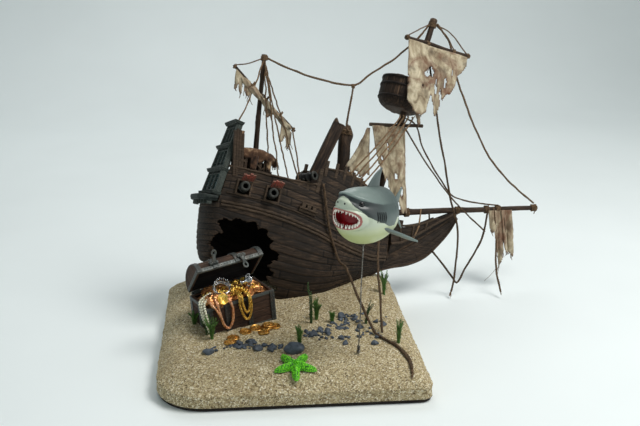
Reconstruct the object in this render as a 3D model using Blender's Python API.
"""Bubbling aquarium ornament: a wrecked sailing ship on a sand base, a treasure chest whose
hollow lid is lifted by air from a buried line, and a shark that sways on a tethered rod.

World frame: +X to the right along the ship, +Y to the back, +Z up, base underside on z = 0.
Everything is laid out in millimetres and scaled to metres when a mesh is made. Each piece is
built in place, then seated: given its own origin and a parent."""
import math

import bmesh
import bpy
import numpy as np
from mathutils import Matrix, Vector

for old_object in list(bpy.data.objects):
    bpy.data.objects.remove(old_object, do_unlink=True)

MM = 0.001
CLEAR = 0.35  # gap between neighbouring pieces

# ------------------------------------------------------------------ driving dimensions
BASE_X0, BASE_X1 = -102.0, 102.0
BASE_Y0, BASE_Y1 = -113.0, 116.0
CORNER_R = (38.0, 9.0, 10.0, 14.0)  # front left, front right, back right, back left
PLATE_T = 3.0
SAND_GAP = 0.3  # above the plate, and above the sand under pieces trimmed to it
SAND_EDGE_Z = 12.5
SAND_TOP_Z = 25.0
SHOULDER = 27.0  # width of the rounded sand shoulder, in ring units

SHIP_YAW, SHIP_HEEL, SHIP_TRIM = 15.0, 16.0, 14.0  # masts lean to the back, bow down
SHIP_ORIGIN = (-4.0, 80.0, 88.0)
HULL_T = 2.4
STERN_X, STERN_ROUND, BOW_X = -58.0, 10.0, 107.0
KEEL_T = 4.0

CHEST_YAW, CHEST_ROLL = 26.0, 5.0
CHEST_ORIGIN = (-35.0, -19.2, 22.9)
CHEST_W, CHEST_D, CHEST_H, CHEST_T = 58.0, 34.0, 27.0, 2.2
CHEST_HALF_W = CHEST_W / 2
HINGE_Y, HINGE_Z = 37.0, CHEST_H
LID_OPEN = 46.0
LID_ARCH = 12.5
LID_T = 1.8
PIN_R, LUG_R = 1.0, 2.4
PIN_FIT = 0.08  # running clearance on the radius

AIR_R, AIR_BORE = 2.4, 1.3
AIR_Z = 6.3
AIR_BEND_R = 9.0
AIR_OUTLET = (2, 21)  # x, y of the upright end of the line in the chest frame

TETHER_X, TETHER_Y = 50.0, -77.0
SHARK_ORIGIN = (55.6, -75.2, 134.0)
SHARK_HEADING = 222.0
SHARK_RISE = 0.06  # upward slope of the body axis towards the snout
SHARK_LEN, SHARK_HIGH, SHARK_WIDE = 58.0, 42.0, 37.0
ROD_R = 0.7


# ------------------------------------------------------------------ frames
def unit(vector):
    vector = np.asarray(vector, float)
    return vector / np.linalg.norm(vector)


class Frame:
    """A placed set of right-handed axes; at(x, y, z) gives the world point in millimetres."""

    def __init__(self, origin, x_axis, y_axis):
        self.origin = np.asarray(origin, float)
        self.x = unit(x_axis)
        self.y = unit(y_axis)
        self.z = np.cross(self.x, self.y)

    def at(self, x, y, z):
        return self.origin + self.x * x + self.y * y + self.z * z

    def direction(self, x, y, z):
        return self.x * x + self.y * y + self.z * z

    def moved(self, x, y, z):
        return Frame(self.at(x, y, z), self.x, self.y)

    def facing_x(self, x, y=0, z=0):
        """A frame at the point whose z runs along this frame's x."""
        return Frame(self.at(x, y, z), self.y, self.z)

    def spun(self, axis, degrees):
        """The same origin, turned about one of the frame's own axes ('x', 'y' or 'z')."""
        angle = math.radians(degrees)
        cos, sin = math.cos(angle), math.sin(angle)
        if axis == "x":
            return Frame(self.origin, self.x, self.y * cos + self.z * sin)
        if axis == "y":
            return Frame(self.origin, self.x * cos - self.z * sin, self.y)
        return Frame(self.origin, self.x * cos + self.y * sin, self.y * cos - self.x * sin)


def frame_between(start, end):
    """Frame at start whose z points to end."""
    z_axis = unit(np.asarray(end, float) - start)
    helper = np.array([0.0, 1.0, 0.0] if abs(z_axis[1]) < 0.9 else [1.0, 0.0, 0.0])
    x_axis = unit(np.cross(helper, z_axis))
    return Frame(start, x_axis, np.cross(z_axis, x_axis))


WORLD = Frame((0, 0, 0), (1, 0, 0), (0, 1, 0))
# Ship: x to the bow, y to port, z up the masts.
SHIP = WORLD.moved(*SHIP_ORIGIN).spun("z", SHIP_YAW).spun("x", -SHIP_HEEL).spun("y", SHIP_TRIM)
# Chest: x to its right, y from the front wall to the rear, z up from its underside.
CHEST = WORLD.moved(*CHEST_ORIGIN).spun("z", CHEST_YAW).spun("y", -CHEST_ROLL)
HINGE = CHEST.moved(0, HINGE_Y, HINGE_Z)
# The lid is drawn closed in this frame (origin on the hinge axis), then turned open.
LID = HINGE.spun("x", -LID_OPEN)
# Shark: x to the snout, z up.
HEADING = math.radians(SHARK_HEADING)
SHARK = Frame(
    SHARK_ORIGIN,
    (math.cos(HEADING), math.sin(HEADING), SHARK_RISE),
    (-math.sin(HEADING), math.cos(HEADING), 0.0),
)


# ------------------------------------------------------------------ geometry builders
def spline(points, steps):
    """Catmull-Rom curve through the points, with steps segments in each span."""
    knots = [np.asarray(point, float) for point in points]
    knots = [2 * knots[0] - knots[1]] + knots + [2 * knots[-1] - knots[-2]]
    out = []
    for i in range(1, len(knots) - 2):
        before, start, end, after = knots[i - 1 : i + 3]
        for k in range(steps):
            t = k / steps
            out.append(
                0.5
                * (
                    2 * start
                    + (end - before) * t
                    + (2 * before - 5 * start + 4 * end - after) * t * t
                    + (3 * start - before - 3 * end + after) * t**3
                )
            )
    out.append(knots[-2])
    return out


def skin(rings, closed=False):
    """Quads between rings of equal length; a closed skin joins the last ring to the first."""
    size, count = len(rings[0]), len(rings)
    verts = [np.asarray(point, float) for ring in rings for point in ring]
    faces = []
    for i in range(count if closed else count - 1):
        near, far = i * size, (i + 1) % count * size
        for j in range(size):
            k = (j + 1) % size
            faces.append((near + j, near + k, far + k, far + j))
    return verts, faces


def loft(rings, fan=True):
    """Closed solid through the rings; each end is capped with a fan or a single face."""
    size = len(rings[0])
    verts, faces = skin(rings)
    for first, ring in ((0, rings[0]), ((len(rings) - 1) * size, rings[-1])):
        if fan:
            centre = len(verts)
            verts.append(np.mean(np.array(ring, float), axis=0))
            faces += [(first + j, first + (j + 1) % size, centre) for j in range(size)]
        else:
            faces.append(tuple(first + j for j in range(size)))
    return verts, faces


def path_frames(path):
    """Path points, and two side directions at each, carried along without twisting."""
    points = np.array(path, float)
    tangents = np.gradient(points, axis=0)
    tangents /= np.linalg.norm(tangents, axis=1)[:, None]
    helper = np.array([0.0, 0.0, 1.0] if abs(tangents[0][2]) < 0.9 else [1.0, 0.0, 0.0])
    side = unit(np.cross(tangents[0], helper))
    sides = []
    for tangent in tangents:
        side = unit(side - tangent * np.dot(side, tangent))
        sides.append((side, np.cross(tangent, side)))
    return points, sides


def circle(centre, x_axis, y_axis, radius, count):
    angles = [2 * math.pi * k / count for k in range(count)]
    return [
        centre + x_axis * (radius * math.cos(angle)) + y_axis * (radius * math.sin(angle))
        for angle in angles
    ]


def tube(path, radius, end_radius=None, sides=6):
    """Solid rod along a path, tapering evenly to the end radius."""
    points, axes = path_frames(path)
    taper = 0.0 if end_radius is None else end_radius - radius
    last = len(points) - 1
    return loft(
        [circle(points[i], *axes[i], radius + taper * i / last, sides) for i in range(last + 1)]
    )


def pipe(path, radius, bore, sides=10):
    """A tube with an open bore from end to end."""
    points, axes = path_frames(path)
    stops = range(len(points))
    rings = [circle(points[i], *axes[i], radius, sides) for i in stops]
    rings += [circle(points[i], *axes[i], bore, sides) for i in reversed(stops)]
    return skin(rings, closed=True)


def spool(frame, profile, sides=16, bored=False):
    """Turned solid about the frame's z from (radius, height); a bored profile is a loop."""
    angles = [2 * math.pi * k / sides for k in range(sides)]
    rings = [[frame.at(r * math.cos(a), r * math.sin(a), z) for a in angles] for r, z in profile]
    return skin(rings, closed=True) if bored else loft(rings)


def cylinder(frame, radius, length, sides):
    return spool(frame, [(radius, 0), (radius, length)], sides)


def torus(frame, major, minor, count=20, sides=6):
    rings = []
    for i in range(count):
        angle = 2 * math.pi * i / count
        cos, sin = math.cos(angle), math.sin(angle)
        centre = frame.at(major * cos, major * sin, 0)
        rings.append(circle(centre, frame.direction(cos, sin, 0), frame.z, minor, sides))
    return skin(rings, closed=True)


def box(frame, x_span, y_span, z_span):
    (x0, x1), (y0, y1) = x_span, y_span
    corners = ((x0, y0), (x1, y0), (x1, y1), (x0, y1))
    return loft([[frame.at(x, y, z) for x, y in corners] for z in z_span], fan=False)


def prism(points, place, start, end):
    """Flat outline swept between two depths; place(u, v, depth) gives the world point."""
    return loft([[place(u, v, depth) for u, v in points] for depth in (start, end)], fan=False)


def side_view(frame):
    """Places an outline drawn in the frame's x and z, with its depth along y."""
    return lambda x, z, y: frame.at(x, y, z)


def shell(outer, inner):
    """Closed sheet between two grids of the same size."""
    rows, cols = len(outer), len(outer[0])
    verts = [np.asarray(v, float) for grid in (outer, inner) for row in grid for v in row]

    def index(i, j, side):
        return side * rows * cols + i * cols + j

    faces = []
    for i in range(rows - 1):
        for j in range(cols - 1):
            for side in (0, 1):
                corners = ((i, j), (i + 1, j), (i + 1, j + 1), (i, j + 1))
                faces.append(tuple(index(*corner, side) for corner in corners))
    edge = [(i, 0) for i in range(rows)] + [(rows - 1, j) for j in range(1, cols)]
    edge += [(i, cols - 1) for i in range(rows - 2, -1, -1)]
    edge += [(0, j) for j in range(cols - 2, 0, -1)]
    for here, after in zip(edge, edge[1:] + edge[:1]):
        faces.append((index(*here, 0), index(*after, 0), index(*after, 1), index(*here, 1)))
    return verts, faces


def sheet(grid, thickness=0.8):
    """Cloth-like sheet: the grid is its middle surface."""
    middle_grid = np.array(grid, float)
    normals = np.cross(np.gradient(middle_grid, axis=0), np.gradient(middle_grid, axis=1))
    normals /= np.linalg.norm(normals, axis=2)[:, :, None]
    offset = normals * thickness / 2
    return shell(middle_grid + offset, middle_grid - offset)


# ------------------------------------------------------------------ materials
PALETTE = {  # name: (linear colour, roughness, metallic)
    "base_board": ((0.16, 0.13, 0.10), 0.8, 0.0),
    "sand": ((0.62, 0.52, 0.40), 0.95, 0.0),
    "weathered_wood": ((0.16, 0.10, 0.07), 0.8, 0.0),
    "spar_wood": ((0.20, 0.13, 0.09), 0.75, 0.0),
    "stern_paint": ((0.24, 0.20, 0.17), 0.7, 0.0),
    "iron": ((0.10, 0.11, 0.11), 0.45, 0.7),
    "port_red": ((0.38, 0.06, 0.05), 0.7, 0.0),
    "sail_cloth": ((0.62, 0.54, 0.45), 0.9, 0.0),
    "twine": ((0.26, 0.18, 0.12), 0.9, 0.0),
    "gold": ((0.75, 0.52, 0.18), 0.35, 1.0),
    "copper": ((0.68, 0.40, 0.22), 0.4, 1.0),
    "silver": ((0.75, 0.75, 0.76), 0.25, 1.0),
    "pearl": ((0.86, 0.83, 0.70), 0.3, 0.0),
    "starfish_green": ((0.16, 0.70, 0.05), 0.6, 0.0),
    "dark_pebble": ((0.12, 0.14, 0.17), 0.7, 0.0),
    "plant": ((0.08, 0.16, 0.06), 0.7, 0.0),
    "shark_skin": ((0.30, 0.36, 0.40), 0.5, 0.0),
    "air_line": ((0.80, 0.82, 0.82), 0.3, 0.0),
    "air_stone": ((0.35, 0.45, 0.55), 0.95, 0.0),
    "tether_wire": ((0.70, 0.72, 0.72), 0.3, 0.6),
}


def new_material(name, colour, roughness, metallic):
    result = bpy.data.materials.new(name)
    result.use_nodes = True
    inputs = result.node_tree.nodes["Principled BSDF"].inputs
    inputs["Base Color"].default_value = (*colour, 1.0)
    inputs["Roughness"].default_value = roughness
    inputs["Metallic"].default_value = metallic
    result.diffuse_color = (*colour, 1.0)
    return result


MATERIALS = {name: new_material(name, *values) for name, values in PALETTE.items()}


# ------------------------------------------------------------------ objects
def make(name, geometry, material=None, smooth=True):
    verts, faces = geometry
    mesh = bpy.data.meshes.new(name)
    mesh.from_pydata([Vector(v) * MM for v in verts], [], faces)
    bm = bmesh.new()
    bm.from_mesh(mesh)
    bmesh.ops.recalc_face_normals(bm, faces=bm.faces)
    bm.to_mesh(mesh)
    bm.free()
    obj = bpy.data.objects.new(name, mesh)
    bpy.context.scene.collection.objects.link(obj)
    if material is not None:
        mesh.materials.append(MATERIALS[material])
    if smooth:
        mesh.shade_smooth()
    return obj


def boolean(obj, geometry, operation):
    """Applies a boolean at once, so that no modifier or tool is left behind."""
    tool = make("tool", geometry)
    modifier = obj.modifiers.new("cut", "BOOLEAN")
    modifier.operation, modifier.solver, modifier.object = operation, "EXACT", tool
    bpy.context.view_layer.update()
    evaluated = obj.evaluated_get(bpy.context.evaluated_depsgraph_get())
    result = bpy.data.meshes.new_from_object(evaluated)
    obj.modifiers.clear()
    old_mesh = obj.data
    obj.data = result
    bpy.data.meshes.remove(old_mesh)
    bpy.data.objects.remove(tool, do_unlink=True)
    return obj


def cut(obj, geometry):
    return boolean(obj, geometry, "DIFFERENCE")


def join(obj, geometry):
    return boolean(obj, geometry, "UNION")


def largest(obj):
    """Keeps the biggest connected piece of the mesh."""
    bm = bmesh.new()
    bm.from_mesh(obj.data)
    left, best = set(bm.faces), []
    while left:
        stack, found = [left.pop()], []
        while stack:
            face = stack.pop()
            found.append(face)
            for edge in face.edges:
                for neighbour in edge.link_faces:
                    if neighbour in left:
                        left.remove(neighbour)
                        stack.append(neighbour)
        if len(found) > len(best):
            best = found
    keep = set(best)
    bmesh.ops.delete(bm, geom=[f for f in bm.faces if f not in keep], context="FACES")
    bm.to_mesh(obj.data)
    bm.free()
    return obj


# ------------------------------------------------------------------ origins and parents
SEATED = {}  # object name: world matrix, in metres


def seat(obj, frame, parent=None):
    """Puts the origin of an object or an empty on a frame, under the named parent."""
    world = np.eye(4)
    columns = (frame.x, frame.y, frame.z, frame.origin * MM)
    world[:3, :] = np.stack(columns, axis=1)
    world = Matrix(world.tolist())
    if obj.type == "MESH":
        obj.data.transform(world.inverted())
    SEATED[obj.name] = world
    local = world
    if parent is not None:
        obj.parent = bpy.data.objects[parent]
        local = SEATED[parent].inverted() @ world
    obj.location = local.to_translation()
    obj.rotation_euler = local.to_euler()


def seat_middle(obj, frame, parent):
    """Seats a piece at its own centre, parallel to the frame."""
    axes = np.stack([frame.x, frame.y, frame.z], 1)
    points = np.array([v.co for v in obj.data.vertices]) / MM @ axes
    centre = axes @ ((points.min(0) + points.max(0)) / 2)
    seat(obj, Frame(centre, frame.x, frame.y), parent)


def seat_on_ship(obj):
    seat_middle(obj, SHIP, "ship")


def group(name, frame):
    empty = bpy.data.objects.new(name, None)
    bpy.context.scene.collection.objects.link(empty)
    seat(empty, frame, "base_plate")


# ------------------------------------------------------------------ base
SAND_RINGS = (0, 1.2, 3.5, 7, 12, 19, 28, 38, 50, 64, 80)  # ring units in from the rim
SAND_MOUNDS = ((1.6, -50, 5, 2400.0), (3.0, 60, 70, 2600.0))  # height, x, y, spread squared
OUTLINE_PITCH = 22  # target spacing of points along the straight edges


def base_outline():
    """Rounded rectangle of the base, anticlockwise from the front-left corner."""
    front_left, front_right, back_right, back_left = CORNER_R
    corners = (  # centre x, centre y, radius, start angle
        (BASE_X0 + front_left, BASE_Y0 + front_left, front_left, 180),
        (BASE_X1 - front_right, BASE_Y0 + front_right, front_right, 270),
        (BASE_X1 - back_right, BASE_Y1 - back_right, back_right, 0),
        (BASE_X0 + back_left, BASE_Y1 - back_left, back_left, 90),
    )
    points = []
    for x, y, radius, start in corners:
        steps = 7 if radius > 20 else 4
        for k in range(steps + 1):
            angle = math.radians(start + 90 * k / steps)
            points.append((x + radius * math.cos(angle), y + radius * math.sin(angle)))
    out = []
    for (x0, y0), (x1, y1) in zip(points, points[1:] + points[:1]):
        n = max(1, round(math.dist((x0, y0), (x1, y1)) / OUTLINE_PITCH))
        out += [(x0 + (x1 - x0) * i / n, y0 + (y1 - y0) * i / n) for i in range(n)]
    return out


OUTLINE = base_outline()
RIM = sorted((math.atan2(y, x), math.hypot(x, y)) for x, y in OUTLINE)
RIM_ANGLES, RIM_RADII = np.array(RIM).T


def inset(x, y):
    """Ring distance from the rim: 0 on the outline and 100 at the centre."""
    rim = np.interp(math.atan2(y, x), RIM_ANGLES, RIM_RADII, period=2 * math.pi)
    return 100.0 * (1 - math.hypot(x, y) / rim)


def sand_z(x, y):
    """Height of the rippled, mounded sand, rounded down towards the rim."""
    top = SAND_TOP_Z + 0.7 * math.sin(x / 21.0 + 1.0) * math.cos(y / 26.0)
    for height, mound_x, mound_y, spread in SAND_MOUNDS:
        top += height * math.exp(-((x - mound_x) ** 2 + (y - mound_y) ** 2) / spread)
    edge = min(1.0, max(0.0, inset(x, y)) / SHOULDER)
    return top - (top - SAND_EDGE_Z) * (1 - edge) ** 2.3


def sand_solid(bottom, lift):
    rings = [[np.array([x, y, bottom]) for x, y in OUTLINE]]
    for distance in SAND_RINGS:
        s = 1 - distance / 100.0
        rings.append([np.array([x * s, y * s, sand_z(x * s, y * s) + lift]) for x, y in OUTLINE])
    verts, faces = loft(rings)
    verts[-1][2] = sand_z(0, 0) + lift  # the middle of the top cap
    return verts, faces


def on_sand(obj):
    """Trims a piece that stands in the sand where it meets the surface."""
    return largest(cut(obj, sand_solid(-40.0, SAND_GAP)))


def slope_frame(x, y, lift):
    """Frame above the sand, with z square to the slope."""
    e = 1.5
    dx = (sand_z(x + e, y) - sand_z(x - e, y)) / (2 * e)
    dy = (sand_z(x, y + e) - sand_z(x, y - e)) / (2 * e)
    y_axis = np.cross(unit((-dx, -dy, 1)), unit((1, 0, dx)))
    return Frame((x, y, sand_z(x, y) + lift), (1, 0, dx), y_axis)


# Upright axis of the air line's outlet, with z = 0 on the base underside.
AIR_X, AIR_Y = CHEST.at(*AIR_OUTLET, 0)[:2]
AIR_AXIS = WORLD.moved(AIR_X, AIR_Y, 0)
TRENCH = 3.4  # room round the air line axis, to each side
AIR_WELL = 3.3  # the same round its upright end
TETHER_HOLE_R = 3.4


def build_base_plate():
    rings = [
        [np.array([x * s, y * s, z]) for x, y in OUTLINE]
        for s, z in ((0.985, 0), (0.99, PLATE_T))
    ]
    seat(make("base_plate", loft(rings, fan=False), "base_board", False), WORLD)


def build_sand():
    sand = make("sand_base", sand_solid(PLATE_T + SAND_GAP, 0.0), "sand")
    # Pocket for the chest, then a notch behind it for the hinge.
    pocket_x = CHEST_HALF_W + CLEAR
    cut(sand, box(CHEST, (-pocket_x, pocket_x), (-0.8 - CLEAR, CHEST_D + CLEAR), (-CLEAR, 20)))
    cut(sand, box(CHEST, (-26, 26), (CHEST_D - 1, HINGE_Y + 4), (14, 32)))
    # Trench for the air line out to the back, room for its bend, and the well up to the chest.
    trench, well = (-TRENCH, TRENCH), (-AIR_WELL, AIR_WELL)
    cut(sand, box(AIR_AXIS, trench, (-TRENCH, BASE_Y1 + 5 - AIR_Y), (0, AIR_Z + TRENCH)))
    cut(sand, box(AIR_AXIS, trench, (-TRENCH, 12.5), (AIR_Z, 18)))
    cut(sand, box(AIR_AXIS, well, well, (14, 26)))
    cut(sand, cylinder(WORLD.moved(TETHER_X, TETHER_Y, 10), TETHER_HOLE_R, 30, 12))
    seat(sand, WORLD.moved(0, 0, PLATE_T), "base_plate")


# ------------------------------------------------------------------ air line
INLET = Frame((AIR_X, BASE_Y1 - 7.5, AIR_Z), (1, 0, 0), (0, 0, -1))  # z to the back
INLET_PROFILE = [
    (1.2, 0), (2.5, 0), (2.5, 8.2), (4.6, 8.2), (4.6, 9.6), (2.0, 9.6), (2.0, 12),
    (2.7, 12.1), (2.1, 15), (2.0, 15.2), (2.7, 15.3), (1.9, 18.5), (1.2, 18.5),
]
AIR_STONE = CHEST.moved(*AIR_OUTLET, 7.4)


def build_air_line():
    """Tube from the back edge that turns up into the chest, its barb and its air stone."""
    path = [np.array([AIR_X, BASE_Y1 - 8.5, AIR_Z])]
    for degrees in range(0, 91, 15):
        angle = math.radians(degrees)
        y = AIR_Y + AIR_BEND_R - AIR_BEND_R * math.sin(angle)
        path.append(np.array([AIR_X, y, AIR_Z + AIR_BEND_R - AIR_BEND_R * math.cos(angle)]))
    path.append(np.array([AIR_X, AIR_Y, CHEST.at(*AIR_OUTLET, 0)[2] + 4.0]))
    line = make("air_tube", pipe(path, AIR_R, AIR_BORE), "air_line")
    seat(line, AIR_AXIS.moved(0, 0, AIR_Z), "base_plate")
    barb = make("air_inlet_barb", spool(INLET, INLET_PROFILE, bored=True), "air_line")
    seat(barb, INLET, "base_plate")
    profile = [(3.0, 0), (3.6, 0.8), (3.6, 4.4), (2.6, 5.2)]
    seat(make("air_stone", spool(AIR_STONE, profile, 14), "air_stone"), AIR_STONE, "chest")


# ------------------------------------------------------------------ treasure chest
CHEST_KNUCKLES, CHEST_KNUCKLE_W = (-25.0, 19.0), 6.0  # left ends and width
LID_KNUCKLES, LID_KNUCKLE_W = (-17.0, 9.0), 8.0
HASPS = (("hasp_left", -13.5, -124.0), ("hasp_right", 10.5, 0.0))  # name, x, swing


def add_knuckles(piece, frame, starts, width, overlap, web_z):
    """Hinge leaves: webs off the rear wall, round eyes on the hinge axis, and the pin hole."""
    web_y = (CHEST_D - HINGE_Y - overlap, 0.6)
    for start in starts:
        join(piece, box(frame, (start + 0.4, start + width - 0.4), web_y, web_z))
        join(piece, cylinder(frame.facing_x(start), LUG_R, width, 12))
    cut(piece, cylinder(HINGE.facing_x(-30), PIN_R + PIN_FIT, 60, 24))


def build_chest_box():
    body = box(CHEST, (-CHEST_HALF_W, CHEST_HALF_W), (0, CHEST_D), (0, CHEST_H))
    chest = make("chest_box", body, "weathered_wood", False)
    inner_x = CHEST_HALF_W - CHEST_T
    inner_y = (CHEST_T, CHEST_D - CHEST_T)
    cut(chest, box(CHEST, (-inner_x, inner_x), inner_y, (CHEST_T, CHEST_H + 5)))
    add_knuckles(chest, HINGE, CHEST_KNUCKLES, CHEST_KNUCKLE_W, 0.8, (-2.3, -0.4))
    cut(chest, cylinder(AIR_AXIS.moved(0, 0, 12), AIR_R + 0.6, 22, 12))
    for x in (-16.0, 0.0, 16.0):
        # Raised bands on the front wall.
        join(chest, box(CHEST, (x - 2.2, x + 2.2), (-0.8, 0.5), (1.5, CHEST_H - 0.6)))
    seat(largest(chest), CHEST, "chest")


def lid_arch(depth):
    """Closed lid's (y, z) section, front rim to rear rim, set in by depth from the outside."""
    front, rear, rim_z, rise = -HINGE_Y, CHEST_D - HINGE_Y, 0.6, 3.4
    middle, half = (front + rear) / 2, (rear - front) / 2 - depth
    top = LID_ARCH - depth
    points = [(middle - half, rim_z)]
    for k in range(11):
        a = math.pi * (1 - k / 10)
        points.append((middle + half * math.cos(a), rim_z + rise + (top - rise) * math.sin(a)))
    points.append((middle + half, rim_z))
    return points


def lid_place(y, z, x):
    return LID.at(x, y, z)


def build_chest_lid():
    outer = prism(lid_arch(0.0), lid_place, -CHEST_HALF_W, CHEST_HALF_W)
    lid = make("chest_lid", outer, "weathered_wood", False)
    # The hollow's two lowest points drop below the rim so that it opens cleanly.
    hollow = [(y, z - 1.0 if k in (0, 12) else z) for k, (y, z) in enumerate(lid_arch(LID_T))]
    cut(lid, prism(hollow, lid_place, -CHEST_HALF_W + LID_T, CHEST_HALF_W - LID_T))
    add_knuckles(lid, LID, LID_KNUCKLES, LID_KNUCKLE_W, 1.2, (0.7, 2.3))
    seat(largest(lid), LID, "chest")


def build_hasp(name, x, swing):
    """Eye barrel, strap and slot on the lid front; swing 0 lies along the lid face."""
    frame = LID.moved(x, -HINGE_Y - 1.7, 4.6).spun("x", swing)
    hasp = make(name, cylinder(frame.facing_x(-2.6), 1.2, 5.2, 10), "iron", False)
    join(hasp, box(frame, (-2.0, 2.0), (-0.5, 0.5), (-11.5, -0.3)))
    cut(hasp, box(frame, (-0.9, 0.9), (-3, 3), (-10, -7.6)))
    seat(hasp, frame, "chest_lid")


def build_chest():
    build_chest_box()
    build_chest_lid()
    pin = cylinder(HINGE.facing_x(-25.6), PIN_R, 51.2, 24)
    seat(make("chest_hinge_pin", pin, "iron"), HINGE, "chest")
    for values in HASPS:
        build_hasp(*values)


# ------------------------------------------------------------------ treasure
# Height above the chest underside, and how far the heap draws in there.
HEAP_RINGS = ((13.0, 0.0), (24.0, 0.0), (27.5, 0.6), (30.0, 3.5), (31.8, 8.0))
GOBLET_PROFILE = [
    (2.6, 0), (2.6, 0.8), (0.8, 1.4), (0.8, 4.0), (2.4, 5.0),
    (3.0, 7.6), (3.0, 9.6), (2.4, 9.6), (2.3, 7.8), (1.2, 6.4),
]
STRANDS = (  # name, radius, material, points in the chest frame
    (
        "pearl_string", 1.15, "pearl",
        [(-20, 10, 33.2), (-25.5, 9, 32.2), (-31.2, 6, 30.5), (-32.6, 2, 24),
         (-32.6, -1.4, 16), (-31.5, -3.0, 9.5)],
    ),
    (
        "rope_chain", 1.1, "copper",
        [(-21, 8, 33.2), (-21.5, -1.0, 30.2), (-20.5, -2.4, 22), (-18.5, -2.4, 12),
         (-14.5, -2.4, 7.2), (-10.5, -2.4, 12), (-9.2, -2.4, 21), (-9.8, -1.6, 29)],
    ),
    (
        "gold_chain", 1.0, "gold",
        [(-1.5, 6, 33.4), (-2.2, -1.2, 30.2), (-2.4, -2.5, 22), (0.2, -2.5, 12.5),
         (3.2, -2.5, 9.8), (6.0, -2.5, 13.5), (7.4, -2.5, 21), (6.6, -1.6, 29.6)],
    ),
)


def squared(value):
    """A sine or cosine drawn out towards 1, which squares the corners of an oval."""
    return math.copysign(abs(value) ** 0.45, value)


def build_heap():
    rings = []
    angles = [2 * math.pi * (k + 0.5) / 28 for k in range(28)]
    for z, shrink in HEAP_RINGS:
        half_x = CHEST_HALF_W - CHEST_T - 0.6 - shrink * 1.4
        half_y = CHEST_D / 2 - CHEST_T - 0.6 - shrink
        ring = []
        for a in angles:
            y = CHEST_D / 2 + squared(math.sin(a)) * half_y
            ring.append(CHEST.at(squared(math.cos(a)) * half_x, y, z))
        rings.append(ring)
    heap = make("treasure_heap", loft(rings), "copper")
    cut(heap, cylinder(AIR_AXIS.moved(0, 0, 20), 2.6, 50, 10))
    seat(heap, CHEST.moved(0, CHEST_D / 2, 13), "chest")


def build_treasure():
    build_heap()
    tiara_at = CHEST.moved(-10, 13, 34.6)
    ring = torus(tiara_at.spun("x", 18), major=6.2, minor=1.1)
    seat(make("tiara", ring, "silver"), tiara_at, "chest")
    goblet_at = CHEST.facing_x(9, 8, 35.0)
    seat(make("goblet", spool(goblet_at, GOBLET_PROFILE, 14), "silver"), goblet_at, "chest")
    medal_at = CHEST.moved(-15.4, 1.2, 31.0).spun("x", 62)
    disc = spool(medal_at, [(3.9, 0), (4.4, 0.4), (4.4, 1.2), (3.9, 1.6)], 18)
    seat(make("medallion", disc, "gold"), medal_at, "chest")
    for name, radius, material, points in STRANDS:
        path = spline([CHEST.at(*point) for point in points], 5)
        seat_middle(make(name, tube(path, radius), material), CHEST, "chest")


# ------------------------------------------------------------------ pieces on the sand
COIN = [(4.6, 0), (5.0, 0.3), (5.0, 1.1), (4.6, 1.4)]
STAR = slope_frame(1.0, -93.0, 0.3).spun("z", 180)
STAR_R = 16.5
PEBBLE_X, PEBBLE_Y = 0.5, -68.0
PEBBLE_SIZE = (8.0, 6.0, 6.0)  # half length, half width, half height
PLANTS = (  # name, x, y, height, spread
    ("plant_left", -60.5, -41.5, 17.0, 4.0),
    ("plant_right", 84.0, -57.0, 18.0, 3.5),
)


def build_coins():
    front = slope_frame(-44, -42, 0.1)
    seat(on_sand(make("coin_front", spool(front, COIN, 18), "copper")), front, "base_plate")
    stack = slope_frame(-17.5, -24, 0.1)
    pile = make("coin_stack", spool(stack, COIN, 18), "copper")
    join(pile, spool(stack.moved(1.6, 1.2, 1.2), COIN, 18))
    seat(on_sand(pile), stack, "base_plate")


def star_ring(scale, z):
    """Five-armed outline at a height above the star's underside."""
    ring = []
    for k in range(50):
        t = 2 * math.pi * k / 50
        r = STAR_R * (0.38 + 0.62 * (0.5 + 0.5 * math.cos(5 * t)) ** 1.5) * scale
        ring.append(STAR.at(r * math.sin(t), r * math.cos(t), z))
    return ring


def build_starfish():
    rings = [star_ring(1.0, 0.0)]
    for scale in (1.0, 0.86, 0.55, 0.22):
        rings.append(star_ring(scale, 0.9 + 4.2 * math.sqrt(1 - (scale * 0.94) ** 2)))
    seat(on_sand(make("starfish", loft(rings), "starfish_green")), STAR, "base_plate")


def build_pebble():
    length, width, height = PEBBLE_SIZE
    frame = slope_frame(PEBBLE_X, PEBBLE_Y, height * 0.35).spun("z", 20)
    rings = []
    for level in (-0.9, -0.6, -0.2, 0.25, 0.62, 0.92):
        girth = math.sqrt(1 - level * level)
        ring = []
        for k in range(12):
            t = 2 * math.pi * k / 12
            lump = 1 + 0.10 * math.sin(3 * t + 5 * level + PEBBLE_X)
            lump += 0.06 * math.cos(5 * t - 3 * level)
            x, y = length * girth * lump * math.cos(t), width * girth * lump * math.sin(t)
            ring.append(frame.at(x, y, height * level))
        rings.append(ring)
    pebble = on_sand(make("pebble_front", loft(rings), "dark_pebble"))
    seat(pebble, slope_frame(PEBBLE_X, PEBBLE_Y, 2), "base_plate")


def build_plant(name, x, y, height, spread):
    """Stiff water plant: a short crown with four blades."""
    z = sand_z(x, y)
    crown_path = [np.array([x, y, z - 1]), np.array([x, y, z + 4])]
    plant = make(name, tube(crown_path, 2.0, 1.4, 8), "plant")
    root = np.array([x, y, z + 2.0])
    for k in range(4):
        angle = math.radians(35 + 95 * k)
        lean = np.array([math.cos(angle), math.sin(angle), 0]) * spread
        bend = root + lean * 0.35 + np.array([0, 0, height * 0.5])
        tip = root + lean + np.array([0, 0, height * (1 - 0.12 * k)])
        join(plant, tube(spline([root, bend, tip], 2), 0.9, 0.35, 5))
    seat(on_sand(plant), WORLD.moved(x, y, z), "base_plate")


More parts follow.
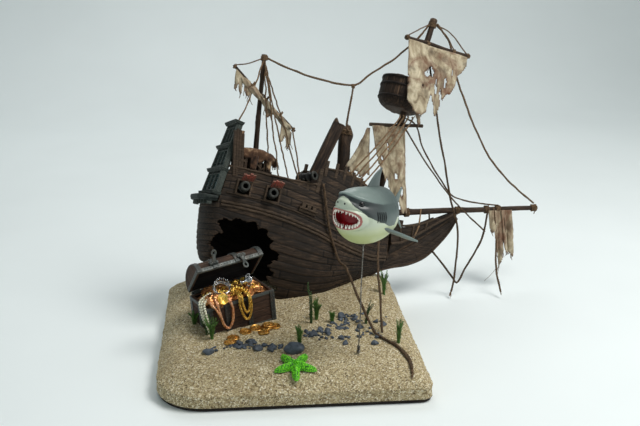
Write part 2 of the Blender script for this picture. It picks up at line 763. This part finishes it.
# ------------------------------------------------------------------ ship hull
# Hull lines in the ship frame, one value per station: the wale is the top of the lower hull.
STATION_X = (-62, -40, -20, 0, 25, 45, 70, 90, 107)
WALE_Y = (26, 29, 31.5, 34, 34, 31, 24, 14.5, 6.5)
WALE_Z = (3, 2, 0, -3.5, -9.5, -15.5, -22, -25, -24)
KEEL_Z = (-44, -70, -80, -83, -82, -74, -57, -44, -34)
RAIL_Y = (23, 27, 29.5, 31, 31, 28.5, 21.5, 13.5, 6.0)
RAIL_Z = (35, 33.5, 32, 30.5, 30, 30, 30, 26, 17)
FORE_Z = 15.5  # height of the forecastle bulwark above the waist rail, at its break
FORE_X = 27.0

# Columns of the hull grid: x, or below STERN_X the way round the stern. Rows: wale 0, keel 1.
HULL_COLUMNS = [STERN_X - STERN_ROUND * k for k in (1.0, 0.8, 0.6, 0.4, 0.2)]
HULL_COLUMNS += [STERN_X, -50, -38, -26, -14, -2, 10, 22, 32, 42, 54, 66, 78, 90, 99, BOW_X]
HULL_LEVELS = (0, 0.12, 0.26, 0.4, 0.55, 0.7, 0.82, 0.92, 1.0)
BREACH = [  # (x, z) outline of the hole in the starboard side
    (-54, -9), (-47, -11), (-41, -8), (-34, -10.5), (-27, -9), (-22, -14), (-16, -13.5),
    (-14, -20), (-9, -23), (-10, -29), (-4, -33), (-6, -40), (-10, -45), (-5, -50),
    (-7, -56), (1, -62), (-1, -68), (6, -78), (6, -95), (-58, -95), (-58, -60), (-55, -50),
    (-60, -43), (-57, -36), (-61, -29), (-55, -22), (-57, -15),
]
BULWARK_X = (
    -58.8, -48, -40, -32, -24, -16, -8, 0, 8, 16,
    26.5, 28.5, 36, 44, 54, 64, 76, 88, 98, BOW_X,
)
BULWARK_T = 2.0
KEEL = [  # (x, z) outline of the fore part of the keel and the knee under the bowsprit
    (42, -79.5), (56, -70), (70, -61), (85, -50), (102, -38), (116, -32.5), (133, -27.5),
    (149, -18.5), (162, -4), (171, 10), (176, 22), (174, 25.5), (168, 21), (158, 12),
    (147, 4), (135, -5), (124, -12), (121.5, -4), (121.5, 13.2), (110, 13.2), (109, -6),
    (109.5, -24), (104, -27), (90, -36), (74, -48), (58, -61), (42, -70),
]
TRANSOM_FOOT_X, TRANSOM_RAKE = -62.3, 0.22  # centre line at z = 9, and its slope
TRANSOM_TIERS = (  # z, half width, how far it stands out aft
    (8.9, 26, 0), (10.5, 26, 0), (10.6, 26.6, 0.9), (12.4, 26.4, 0.9), (12.5, 25.4, 0),
    (29.5, 23.6, 0), (29.6, 24.6, 1.2), (32.0, 24.4, 1.2), (32.1, 23.0, 0),
    (50.5, 20.2, 0), (50.6, 21.2, 1.2), (53.0, 21.0, 1.2), (53.1, 19.6, 0),
    (71.5, 17.0, 0), (71.6, 18.4, 1.4), (74.6, 18.2, 1.4),
)
COUNTER = [  # (x, y) outline of the shelf under the transom
    (-75.5, -15), (-71.5, -25.5), (-67, -28.4), (-60.7, -28.4),
    (-60.7, 28.4), (-67, 28.4), (-71.5, 25.5), (-75.5, 15),
]
HEAD_RAIL = [  # (x, y, z) along the starboard side of the knee
    (109.5, -7.8, -10), (122, -5.6, -6.5), (136, -4.4, 2.0), (152, -3.9, 13.5),
    (171, -3.5, 26.0),
]
MAIN_DECK_Z, QUARTER_DECK_Z = 17.0, 26.5
FORE_DECK_X, FORE_DECK_Z, FORE_FALL = 34.5, 35.0, 0.27  # aft end, and its slope to the bow


def fair(x, table):
    """Smooth value of a station table at x."""
    xs, values = np.array(STATION_X, float), np.array(table, float)
    slopes = np.gradient(values, xs)
    i = int(min(max(np.searchsorted(xs, x) - 1, 0), len(xs) - 2))
    span = xs[i + 1] - xs[i]
    t = (x - xs[i]) / span
    return float(
        (1 + 2 * t) * (1 - t) ** 2 * values[i]
        + t * (1 - t) ** 2 * span * slopes[i]
        + t * t * (3 - 2 * t) * values[i + 1]
        + t * t * (t - 1) * span * slopes[i + 1]
    )


def rail_z(x):
    z = fair(x, RAIL_Z)
    if x > FORE_X:
        z += FORE_Z * max(0.0, 1 - max(0.0, x - 46) / 46.0)
    return z


def fullness(level, x):
    """Share of the wale's half breadth that is left at a level; sharper towards the bow."""
    power = 2.6 - 1.0 * min(1.0, max(0.0, (x - 40) / 60.0))
    return max(0.0, 1 - level**power) ** (1 / power)


def centre_gap(x):
    """Least half breadth: the sides part towards the bow to clear the keel."""
    return 0.2 + (KEEL_T / 2 + 0.15) * min(1.0, max(0.0, (x - 24) / 14.0))


def hull_point(column, level, side, depth):
    """Point of the lower hull, set in by depth from its outer surface."""
    x = max(column, STERN_X)
    turn = (x - column) / STERN_ROUND * math.pi / 2
    full = fullness(level, x)
    y = (fair(x, WALE_Y) - depth) * full * math.cos(turn)
    wale = fair(x, WALE_Z)
    z = wale + (fair(x, KEEL_Z) - wale) * level + depth * 1.1 * level**3
    hull_x = x - (STERN_ROUND - depth) * full * math.sin(turn)
    return SHIP.at(hull_x, side * max(y, centre_gap(column)), z)


def hull_side(name, side):
    outer, inner = [
        [[hull_point(u, level, side, depth) for level in HULL_LEVELS] for u in HULL_COLUMNS]
        for depth in (0.0, HULL_T)
    ]
    # A little extra width at the keel keeps the sheet from closing on itself.
    for row in inner:
        row[-1] = row[-1] + SHIP.direction(0, 0, 1.6)
    return make(name, shell(outer, inner), "weathered_wood")


def bulwark_y(x, z):
    """Outer half breadth above the wale."""
    wale, rail = fair(x, WALE_Z), fair(x, RAIL_Z) + 6
    rise = min(1.2, max(0.0, (z - wale) / (rail - wale)))
    return fair(x, WALE_Y) + (fair(x, RAIL_Y) - fair(x, WALE_Y)) * rise


def bulwark_grid(side, depth):
    grid = []
    for i, x in enumerate(BULWARK_X):
        foot = fair(x, WALE_Z) + CLEAR
        line = []
        for j in range(5):
            z = foot + (rail_z(x) - foot) * j / 4
            # The aft edge leans with the transom.
            rake = TRANSOM_RAKE * (z - 9) if i == 0 else 0.0
            line.append(SHIP.at(x + rake, side * (bulwark_y(x, z) - depth), z))
        grid.append(line)
    return grid


def bulwark(name, side):
    walls = shell(bulwark_grid(side, 0.0), bulwark_grid(side, BULWARK_T))
    return make(name, walls, "weathered_wood", False)


def build_hull():
    starboard = hull_side("hull_starboard", -1)
    cut(starboard, prism(BREACH, side_view(SHIP), -60, -4))
    seat_on_ship(on_sand(starboard))
    seat_on_ship(on_sand(hull_side("hull_port", 1)))
    board = bulwark("bulwark_starboard", -1)
    for _, x, z in PORTS:
        cut(board, box(SHIP, (x - 5.6, x + 5.6), (-45, -20), (z - 5.4, z + 5.4)))
    seat_on_ship(board)
    seat_on_ship(bulwark("bulwark_port", 1))
    keel = prism(KEEL, side_view(SHIP), -KEEL_T / 2, KEEL_T / 2)
    seat_on_ship(on_sand(make("keel_and_knee", keel, "weathered_wood", False)))
    head_rail = tube(spline([SHIP.at(*point) for point in HEAD_RAIL], 3), 1.3, 1.0)
    seat_on_ship(make("head_rail_starboard", head_rail, "weathered_wood"))


def build_stern():
    tiers = []
    for z, half, proud in TRANSOM_TIERS:
        x = TRANSOM_FOOT_X + (z - 9) * TRANSOM_RAKE
        aft, front = x - 2.5 - proud, x + 2.5
        corners = ((aft, -half), (front, -half), (front, half), (aft, half))
        tiers.append([SHIP.at(*corner, z) for corner in corners])
    seat_on_ship(make("transom", loft(tiers, fan=False), "stern_paint", False))
    counter = prism(COUNTER, SHIP.at, 3.7, 8.4)
    seat_on_ship(make("stern_counter", counter, "stern_paint", False))


def build_deck(name, x0, x1, z0, fall):
    """Planking between the bulwarks, sloping down by fall from its aft end."""
    xs = [x0 + (x1 - x0) * k / 8 for k in range(9)]
    rim = [(x, -(bulwark_y(x, z0 - fall * (x - x0)) - 3.2)) for x in xs]
    rim += [(x, -y) for x, y in reversed(rim)]

    def place(x, y, depth):
        return SHIP.at(x, y, z0 - fall * (x - x0) + depth)

    seat_on_ship(make(name, prism(rim, place, -2.0, 0.0), "weathered_wood", False))


def fore_deck_z(x):
    return FORE_DECK_Z - FORE_FALL * (x - FORE_DECK_X)


# ------------------------------------------------------------------ guns
PORTS = (("aft", -40.0, 17.5), ("fore", -15.0, 15.5))  # name, x, z of the gunports
GUN_PROFILE = [
    (1.4, -2.2), (1.6, 0), (4.4, 0.4), (4.4, 5.0), (4.9, 5.1), (4.9, 6.6), (4.1, 6.7),
    (3.6, 12.4), (4.3, 12.6), (4.3, 13.8), (3.4, 13.9), (3.2, 17.4), (4.2, 19.0),
    (4.2, 20.8), (2.1, 20.9), (2.0, 12.0),
]
DECK_GUN_PROFILE = [
    (2.6, 0), (3.9, 0.6), (4.1, 6), (3.6, 6.1), (3.2, 13.5),
    (3.9, 15), (3.9, 16.4), (1.8, 16.5), (1.7, 10),
]


def build_port(name, x, z):
    """A gun with a bored muzzle run out through its port, and the raised lid above."""
    frame = frame_between(SHIP.at(x, -19, z - 0.6), SHIP.at(x - 1.6, -40, z + 1.4))
    seat_on_ship(make(f"gun_{name}", spool(frame, GUN_PROFILE), "iron"))
    hinge = SHIP.moved(x + 2.2, -bulwark_y(x, z + 6) - 1.2, z + 6.6).spun("x", -38)
    lid = box(hinge, (-5.4, 5.4), (-9.6, -0.3), (-0.7, 0.7))
    seat_on_ship(make(f"gunport_lid_{name}", lid, "port_red", False))


def build_deck_gun():
    frame = frame_between(SHIP.at(9.5, -19.5, 33.5), SHIP.at(19, -37, 37.5))
    gun = make("deck_gun", spool(frame, DECK_GUN_PROFILE), "iron")
    # Block that carries it up from the main deck.
    join(gun, box(SHIP, (5.5, 16.0), (-27.5, -17.5), (MAIN_DECK_Z + CLEAR, 33.0)))
    seat_on_ship(gun)


# ------------------------------------------------------------------ spars
MAST_FOOT = SHIP.at(91, 0, fore_deck_z(91) + CLEAR + 1.2)
MAST_TOP = SHIP.at(126.2, 0, 204)
FORE_MAST = frame_between(MAST_FOOT, MAST_TOP)
NEST = FORE_MAST.moved(0, 0, 92.0)
NEST_SHIFT = -6.5  # the tub stands off-centre, aft of the mast
NEST_PROFILE = [
    (4.0, 0), (13.5, 0), (19.5, 4), (21.8, 12), (22.4, 27.5),
    (20.2, 27.5), (19.6, 12), (17.5, 5.6), (12.5, 2.2), (4.0, 2.2),
]
SPARS = (  # name, start, end, start radius, end radius, sides
    ("fore_topsail_yard", (97, -6.2, 180), (164, -7.5, 174.5), 1.9, 1.6, 10),
    ("fore_yard", (73, -8.2, 94.0), (125, -8.2, 101.5), 1.6, 1.6, 10),
    ("bowsprit", (110, 0, 18.5), (260, 0, 45.5), 2.9, 2.1, 12),
    ("mizzen_mast", (-25.2, 0, QUARTER_DECK_Z + CLEAR), (-31, 0, 138.5), 2.7, 1.9, 12),
    ("mizzen_yard", (-58, -4.6, 123.5), (5.0, -4.6, 76.0), 1.3, 1.0, 10),
    ("main_mast_stump", (59.5, 5, fore_deck_z(59.5) + 3.2), (54.5, 4, 91), 6.2, 5.6, 14),
)
BROKEN_SECTION = [(-5.2, -3.5), (5.4, -4.0), (5.0, 3.5), (-4.8, 4.0)]
BROKEN_FOOT = np.array([20.5, -7.0, MAIN_DECK_Z + 1.6])
BROKEN_TOP = np.array([43.5, -9.5, 91.0])


def build_fore_mast():
    length = float(np.linalg.norm(MAST_TOP - MAST_FOOT))
    profile = [
        (3.6, 0), (3.3, length * 0.5), (2.6, length - 6),
        (3.6, length - 5.2), (3.6, length - 1), (2.2, length),
    ]
    mast = make("fore_mast", spool(FORE_MAST, profile, 14), "spar_wood")
    seat(mast, FORE_MAST, "ship")
    rings = []
    for radius, z in NEST_PROFILE:
        # The innermost rings stay round the mast.
        level = NEST.moved(NEST_SHIFT if radius > 5 else 0.0, 0, z)
        rings.append(circle(level.origin, level.x, level.y, radius, 24))
    seat(make("crows_nest", skin(rings, closed=True), "spar_wood"), NEST, "ship")


def build_broken_spar():
    rings = []
    for along in (0, 0.5, 1):
        centre = BROKEN_FOOT + (BROKEN_TOP - BROKEN_FOOT) * along
        ring = []
        for x, y in BROKEN_SECTION:
            # The top end is broken off on a slant.
            slant = (3.0 if x < 0 else -2.0) * (along == 1)
            ring.append(SHIP.at(*(centre + np.array([x, y, slant]))))
        rings.append(ring)
    seat_on_ship(make("broken_spar", loft(rings, fan=False), "spar_wood", False))


def build_spars():
    build_fore_mast()
    for name, start, end, radius, end_radius, sides in SPARS:
        geometry = tube([SHIP.at(*start), SHIP.at(*end)], radius, end_radius, sides)
        seat_on_ship(make(name, geometry, "spar_wood"))
    build_broken_spar()


# ------------------------------------------------------------------ sails
# In each sail grid, i counts columns towards the bow and j counts rows downwards.
TOPSAIL_DROPS = (60, 66, 74, 58, 40, 30, 22)  # length of each column
FURLED_SAIL = [(-50, -5.0, 112.8), (-30, -5.2, 97.2), (-14, -5.2, 85.6), (0, -5.0, 73.6)]


def topsail_point(i, j):
    """Topsail hangs from the upper yard and lies over the side of the crow's nest."""
    drop = TOPSAIL_DROPS[i]
    x = 99 + 10.2 * i - 0.06 * drop * j
    if i >= 4:
        x -= 0.25 * j
    top = 177.2 - 0.9 * i
    z = top - 1.2 - drop * j / 6
    reach = min(1.0, (top - z) / 32.0)
    y = -6.6 - 21.0 * math.sin(reach * math.pi / 2) * (1 - 0.04 * i)
    y -= 1.2 * (1 + math.sin(1.9 * i))
    return SHIP.at(x, y, z - 1.2)


def foresail_point(i, j):
    top_x = 76 + 7.0 * i
    x = top_x + (106 - top_x) * 0.10 * j * (0.4 + 0.09 * i) + 0.9 * j
    z = 90.6 + 0.95 * i - 10.4 * j
    y = -8.4 - 3.2 * math.sin(i * 1.1 + 0.4) * (0.4 + 0.1 * j)
    return SHIP.at(x, y, z)


def rag_point(i, j):
    y = -4.4 - 0.5 * math.sin(2 * i)
    return SHIP.at(218 + 4.6 * i - 0.4 * j, y, 33.5 + 0.7 * i - 8.0 * j)


def build_sails():
    for name, point, columns, rows in (
        ("topsail", topsail_point, 7, 7),
        ("foresail", foresail_point, 6, 7),
        ("bowsprit_rag", rag_point, 4, 5),
    ):
        grid = [[point(i, j) for j in range(rows)] for i in range(columns)]
        seat_on_ship(make(name, sheet(grid), "sail_cloth"))
    furled = tube([SHIP.at(*point) for point in FURLED_SAIL], 2.6, 2.2, 8)
    seat_on_ship(make("mizzen_sail", furled, "sail_cloth"))


# ------------------------------------------------------------------ ropes
ROPE_R, SHROUD_R, ANCHOR_ROPE_R = 0.9, 0.75, 1.1
MAIN_STAY = [
    (-28.6, -1.0, 136.0), (-6, -1, 130.5), (22, -1.5, 126.6), (55, -1.5, 127.4),
    (70, -2, 141), (90, -1.5, 158), (111, -1.0, 181), (120.0, -1.5, 196),
]
STAY_DROP = [(55, -1.5, 127.4), (54.4, -1.2, 110), (54.6, 0, 94.6)]
FORE_STAY = [
    (130.2, -1.5, 200), (145.5, -1.5, 183), (151, -1.5, 165), (164, -1.5, 140),
    (183, -1.5, 109), (204, -1.5, 82.5), (230, -1.5, 63), (254, -1.5, 49.8),
]
SHROUDS = ((98.0, 54.0), (103.0, 62.0), (108.0, 70.0))  # x at the head and at the foot
ANCHOR_ROPE_START = (30.0, -35.2, 24.0)
ANCHOR_ROPE_SIDE = [ANCHOR_ROPE_START, (38.0, -34.6, -4), (50, -34.0, -30)]  # ship frame
ANCHOR_ROPE_DROP = [(51.2, 14.0, 60), (57.5, -8, 45), (63.7, -28.0, 33)]  # world frame
ANCHOR_ROPE_GROUND = [(68, -42), (73, -54), (81, -67.4), (86, -87.5), (86.7, -103)]  # x, y


def ship_tube(points, radius=ROPE_R):
    return tube([SHIP.at(*point) for point in points], radius)


def stay_rope(name, points):
    return make(name, tube(spline([SHIP.at(*point) for point in points], 5), ROPE_R), "twine")


def build_stays():
    main = stay_rope("main_stay_rope", MAIN_STAY)
    # Branch down to the main mast stump, with a block where it leaves the stay.
    join(main, ship_tube(STAY_DROP))
    block = [(0.8, 0), (1.9, 1), (1.9, 3), (0.8, 4)]
    join(main, spool(SHIP.moved(55, -1.5, 125.4), block, 8))
    seat_on_ship(main)
    seat_on_ship(stay_rope("fore_stay_rope", FORE_STAY))


def build_shrouds():
    lines = []
    for head_x, foot_x in SHROUDS:
        rail = rail_z(foot_x)
        foot = np.array((foot_x, -bulwark_y(foot_x, rail) + 0.6, rail + 1.7))
        lines.append(((head_x, -19.0, 101.0), foot))
    shrouds = make("shroud_ropes", ship_tube(lines[0], SHROUD_R), "twine")
    for line in lines[1:]:
        join(shrouds, ship_tube(line, SHROUD_R))
    # Cross ropes that tie the feet and the heads together.
    feet = [foot for _, foot in lines]
    tie = [feet[0] * 1.25 - feet[1] * 0.25] + feet + [feet[2] * 1.25 - feet[1] * 0.25]
    join(shrouds, ship_tube([point + np.array([0, 0, 0.4]) for point in tie]))
    join(shrouds, ship_tube([(96.0, -19.0, 99.6), (110.0, -19.0, 99.6)]))
    seat_on_ship(shrouds)


def build_anchor_rope():
    """Hangs down the starboard side and runs forward over the sand."""
    path = [SHIP.at(*point) for point in ANCHOR_ROPE_SIDE]
    path += [np.array(point, float) for point in ANCHOR_ROPE_DROP]
    path += [np.array([x, y, sand_z(x, y) + 1.25]) for x, y in ANCHOR_ROPE_GROUND]
    rope = on_sand(make("anchor_rope", tube(spline(path, 4), ANCHOR_ROPE_R), "twine"))
    seat(rope, SHIP.moved(*ANCHOR_ROPE_START), "ship")


# ------------------------------------------------------------------ tethered shark
TETHER = WORLD.moved(TETHER_X, TETHER_Y, sand_z(TETHER_X, TETHER_Y))
PIVOT = TETHER.moved(0, 0, 2.0)
ROD_TOP = SHARK.at(3.0, 0, -SHARK_HIGH / 2 + 2.0)
ROD_FOOT = PIVOT.origin + unit(ROD_TOP - PIVOT.origin) * 1.6
CUP_PROFILE = [(1.0, 0), (3.0, 0), (3.0, 7.4), (2.6, 7.6), (2.6, 7.8), (1.9, 7.8), (1.9, 3.0)]
SWIVEL_PROFILE = [(0.8, 0), (1.5, 0.4), (1.5, 1.8), (0.8, 2.2)]
SHARK_STATIONS = (1.0, 0.97, 0.88, 0.72, 0.5, 0.25, 0.0, -0.25, -0.5, -0.72, -0.88, -0.98)
FIN_HALF_T = 0.9
DORSAL_FIN = [(6, 17), (2, 27), (-6, 34), (-8, 33), (-8, 24), (-9, 14)]  # x, z
TAIL_FIN = [  # x, z
    (-24, 4), (-31, 9), (-38, 18), (-40, 17), (-36, 6),
    (-34, 1), (-38, -8), (-36, -10), (-30, -5), (-24, -3),
]
SIDE_FIN = [(8, 13), (3, 24), (-8, 34), (-10, 33), (-7, 22), (-6, 12)]  # x, reach outwards


def build_tether():
    """Cup sunk in the sand, the swivel in it and the rod up to the shark."""
    anchor = TETHER.moved(0, 0, -8.0)
    cup = make("tether_anchor", spool(anchor, CUP_PROFILE, 14), "tether_wire")
    seat(cup, anchor, "base_plate")
    swivel = spool(PIVOT.moved(0, 0, -1.1), SWIVEL_PROFILE, 12)
    seat(make("tether_swivel", swivel, "tether_wire"), PIVOT, "base_plate")
    rod = make("tether_rod", tube([ROD_FOOT, ROD_TOP], ROD_R, ROD_R, 12), "tether_wire")
    seat(rod, frame_between(PIVOT.origin, ROD_TOP), "tether_swivel")


def shark_ring(station):
    """Cross-section of the body; station runs from the snout (1) to the tail stock (-1)."""
    reach = 1.0 if station > 0.12 else 1.22
    full = max(0.02, 1 - abs((station - 0.12) / reach) ** 2.3) ** 0.5
    rise = 2.2 * max(0.0, station) + 2.0 * max(0.0, -station) ** 2
    ring = []
    for k in range(20):
        angle = 2 * math.pi * k / 20
        y = SHARK_WIDE / 2 * full * math.cos(angle)
        z = rise + SHARK_HIGH / 2 * full * math.sin(angle)
        ring.append(SHARK.at(station * SHARK_LEN / 2, y, z))
    return ring


def side_fin_place(side):
    """Places a side fin so that it droops outwards."""
    return lambda x, reach, depth: SHARK.at(
        x, side * reach * 0.98, -9 - (reach - 13) * 0.45 + depth
    )


def build_shark():
    shark = make("shark_body", loft([shark_ring(s) for s in SHARK_STATIONS]), "shark_skin")
    for outline, place in (
        (DORSAL_FIN, side_view(SHARK)),
        (TAIL_FIN, side_view(SHARK)),
        (SIDE_FIN, side_fin_place(-1)),
        (SIDE_FIN, side_fin_place(1)),
    ):
        join(shark, prism(outline, place, -FIN_HALF_T, FIN_HALF_T))
    # Blind socket in the belly for the end of the rod.
    rod_length = float(np.linalg.norm(ROD_TOP - ROD_FOOT))
    socket = frame_between(ROD_FOOT, ROD_TOP).moved(0, 0, rod_length - 14)
    cut(shark, cylinder(socket, ROD_R + PIN_FIT, 14.6, 12))
    seat(largest(shark), Frame(ROD_TOP, SHARK.x, SHARK.y), "tether_rod")


# ------------------------------------------------------------------ assembly
# Parents come before the pieces seated on them.
build_base_plate()
group("ship", SHIP)
group("chest", CHEST)

build_sand()
build_air_line()
build_chest()
build_treasure()
build_coins()
build_starfish()
build_pebble()
for plant_values in PLANTS:
    build_plant(*plant_values)

build_hull()
build_stern()
build_deck("quarter_deck", -52.0, -9.0, QUARTER_DECK_Z, 0.0)
build_deck("main_deck", -8.0, 33.0, MAIN_DECK_Z, 0.0)
build_deck("fore_deck", FORE_DECK_X, 101.0, FORE_DECK_Z, FORE_FALL)
for port in PORTS:
    build_port(*port)
build_deck_gun()
build_spars()
build_sails()
build_stays()
build_shrouds()
build_anchor_rope()

build_tether()
build_shark()
